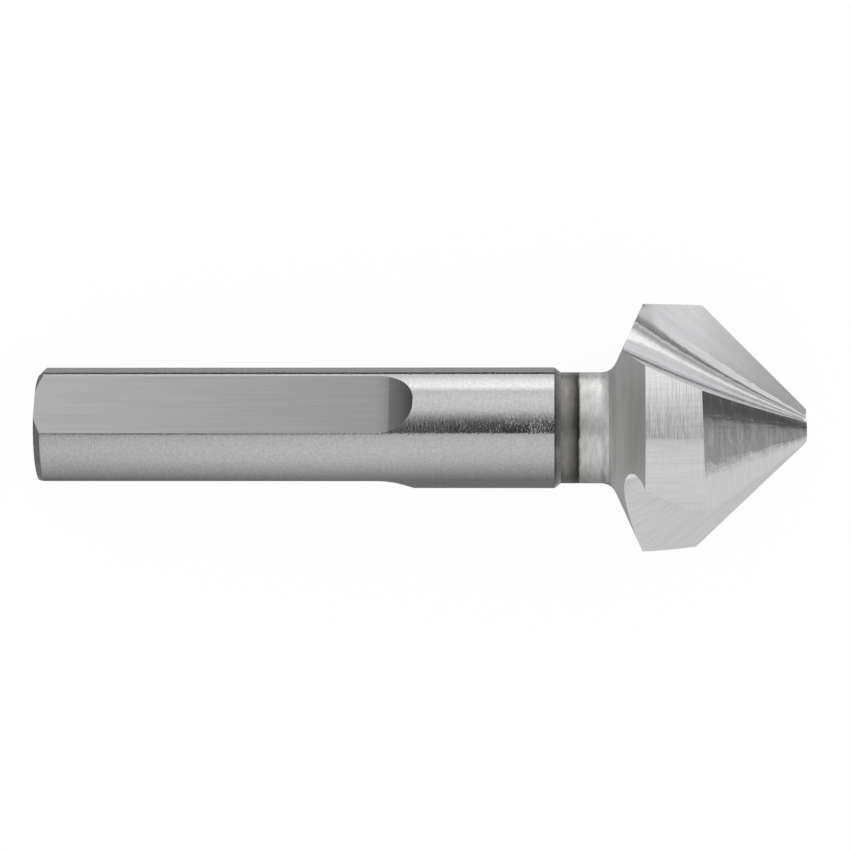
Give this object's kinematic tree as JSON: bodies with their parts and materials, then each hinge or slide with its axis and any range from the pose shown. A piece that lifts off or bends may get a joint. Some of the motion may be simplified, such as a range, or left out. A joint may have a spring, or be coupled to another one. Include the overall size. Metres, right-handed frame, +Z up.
{
  "type": "countersink bit",
  "caption": "Conical 90 degree countersink bit with relief-ground cutting teeth, a short turned neck and a plain round shank with jaw flats, lying on its side",
  "frame": {"origin": "on the table plane, under the centre of the lying bit's bounding box", "axes": "+Z up from the table, +X along the bit from shank end to tip, seen from above, +Y across it"},
  "size_m": [0.0638, 0.0204, 0.0196],
  "materials": {
    "ground_steel": "ground high-speed steel, bright on the head and flats, with a dark tempered band at the neck"
  },
  "bodies": {
    "root": {"countersink_bit": "ground_steel"}
  },
  "joints": []
}
